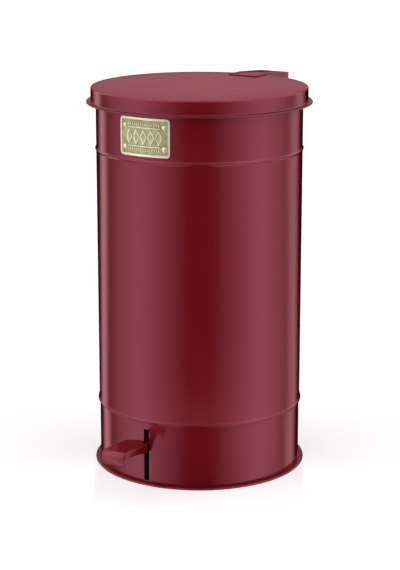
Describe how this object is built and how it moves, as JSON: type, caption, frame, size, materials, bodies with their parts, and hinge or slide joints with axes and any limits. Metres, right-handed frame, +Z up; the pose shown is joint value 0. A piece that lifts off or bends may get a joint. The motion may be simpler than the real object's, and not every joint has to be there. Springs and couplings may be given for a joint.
{
  "type": "pedal trash can",
  "caption": "Round sheet-steel pedal bin: painted tube on a base drum, rear-hinged flat lid lifted by a foot pedal through a lever and lift rod, with an inner bucket.",
  "frame": {"origin": "centre of the foot flange's underside, on the can's axis, at floor level", "axes": "+Z up along the can's axis, -Y towards the pedal and nameplate, +Y towards the hinge and lift rod"},
  "size_m": [0.273, 0.3878, 0.4692],
  "materials": {
    "paint": "gloss",
    "galvanised": "satin",
    "plated_steel": "satin",
    "grip": "matte",
    "buffer": "matte",
    "plate_brass": "satin"
  },
  "bodies": {
    "can": {"body_tube": "paint", "base_drum": "paint", "base_plate": "paint", "false_floor": "galvanised", "hinge_bracket": "paint", "bracket_rivets": "paint", "hinge_pin": "plated_steel", "hinge_clip": "plated_steel", "rod_guide_upper": "paint", "rod_guide_lower": "paint", "guide_rivets": "paint", "fulcrum_bracket": "plated_steel", "fulcrum_rivets": "plated_steel", "fulcrum_pin": "plated_steel", "fulcrum_clip": "plated_steel", "lever_spacers": "plated_steel", "bucket": "galvanised", "bail_ears": "galvanised", "nameplate": "plate_brass", "nameplate_screws": "plate_brass"},
    "lid": {"lid_cap": "paint", "hinge_strap": "paint", "lift_lug": "plated_steel", "lid_buffers": "buffer"},
    "rod": {"lift_rod": "plated_steel", "rod_clips": "plated_steel"},
    "pedal": {"pedal_lever": "paint", "pedal_tread": "paint"},
    "bail": {"bail_wire": "plated_steel", "bail_grip": "grip"}
  },
  "joints": [
    {"name": "lid_hinge", "type": "hinge", "parent": "can", "child": "lid", "pos_m": [0, 0.172, 0.455], "axis": [-1, 0, 0], "range_deg": [0, 75]},
    {"name": "pedal_pivot", "type": "hinge", "parent": "can", "child": "pedal", "pos_m": [0, -0.025, 0.03549], "axis": [1, 0, 0], "range_deg": [0, 14.49]},
    {"name": "rod_lift", "type": "slide", "parent": "can", "child": "rod", "axis": [0, 0, 1], "range_m": [0, 0.04298]},
    {"name": "bail_swing", "type": "hinge", "parent": "can", "child": "bail", "pos_m": [0, 0, 0.428], "axis": [-1, 0, 0], "range_deg": [0, 32]}
  ],
  "couplings": [
    {"joint": "pedal_pivot", "follows": "lid_hinge", "ratio": 0.19321},
    {"joint": "rod_lift", "follows": "lid_hinge", "m_per_rad": 0.032827}
  ]
}
